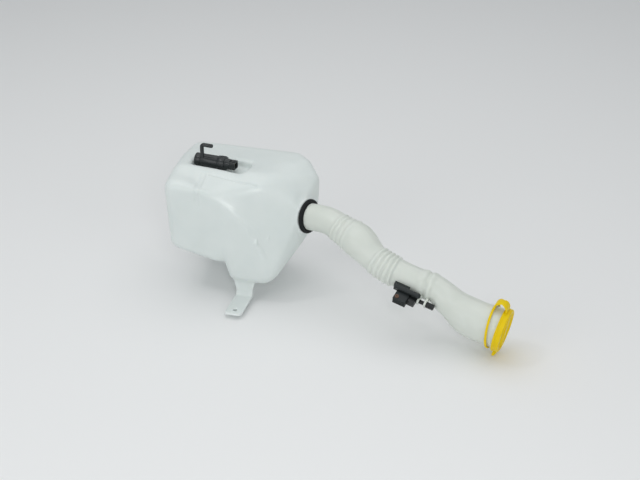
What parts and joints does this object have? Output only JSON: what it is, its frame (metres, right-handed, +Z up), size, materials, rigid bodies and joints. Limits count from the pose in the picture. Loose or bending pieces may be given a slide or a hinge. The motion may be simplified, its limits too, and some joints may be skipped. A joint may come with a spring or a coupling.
{
  "type": "washer fluid reservoir",
  "caption": "Vehicle washer fluid reservoir: a blown tank with a bellows filler neck, a tethered snap cap, an electric pump in a trough and a mounting foot.",
  "frame": {"origin": "centre of the foot hole on the underside of the mounting foot", "axes": "+Z up along the foot hole, +X from the tank towards the filler mouth along the pump axis, +Y from the foot plate towards the tank"},
  "size_m": [0.5561, 0.2249, 0.2347],
  "materials": {
    "tank_plastic": "translucent blow-moulded polyethylene, satin",
    "neck_plastic": "translucent blow-moulded polyethylene, satin, a little warmer than the tank",
    "grommet_rubber": "black rubber, satin",
    "cap_plastic": "yellow polypropylene, semi-gloss",
    "strainer_plastic": "natural polypropylene",
    "pump_plastic": "black glass-filled plastic, fine texture",
    "impeller_plastic": "natural acetal",
    "shaft_steel": "ground steel",
    "bearing_bronze": "sintered bronze",
    "armature_iron": "laminated iron with varnished copper coils",
    "contact_brass": "tinned brass",
    "magnet_ferrite": "ferrite",
    "brush_plate_plastic": "phenolic board",
    "brush_carbon": "carbon",
    "connector_plastic": "dark grey nylon",
    "pin_plastic": "black nylon",
    "seal_rubber": "brown silicone rubber"
  },
  "bodies": {
    "reservoir": {"tank": "tank_plastic", "neck_grommet": "grommet_rubber", "filler_neck": "neck_plastic", "cap_ring": "cap_plastic", "pump_inlet_grommet": "grommet_rubber", "pump_inlet_strainer": "strainer_plastic", "pump_base_cover": "pump_plastic", "pump_housing": "pump_plastic", "pump_end_cap": "pump_plastic", "pump_shaft_seal": "grommet_rubber", "pump_front_bearing": "bearing_bronze", "pump_rear_bearing": "bearing_bronze", "pump_motor_can": "shaft_steel", "pump_magnets": "magnet_ferrite", "pump_brush_plate": "brush_plate_plastic", "pump_brushes": "brush_carbon", "pump_terminals": "contact_brass", "connector_holder": "connector_plastic", "connector_housing": "connector_plastic", "connector_seal": "seal_rubber", "connector_cover": "pin_plastic", "retaining_pin": "pin_plastic"},
    "lid": {"cap_lid": "cap_plastic"},
    "pump_rotor": {"pump_shaft": "shaft_steel", "pump_armature": "armature_iron", "pump_commutator": "contact_brass", "pump_impeller": "impeller_plastic"}
  },
  "joints": [
    {"name": "lid_hinge", "type": "hinge", "parent": "reservoir", "child": "lid", "pos_m": [0.41101, -0.00204, 0.08839], "axis": [-0.1736, -0.9848, 0], "range_deg": [0, 150]},
    {"name": "rotor_spin", "type": "hinge", "parent": "reservoir", "child": "pump_rotor", "pos_m": [-0.07509, 0.1133, 0.198], "axis": [0.9945, -0.1045, 0], "continuous": true}
  ]
}
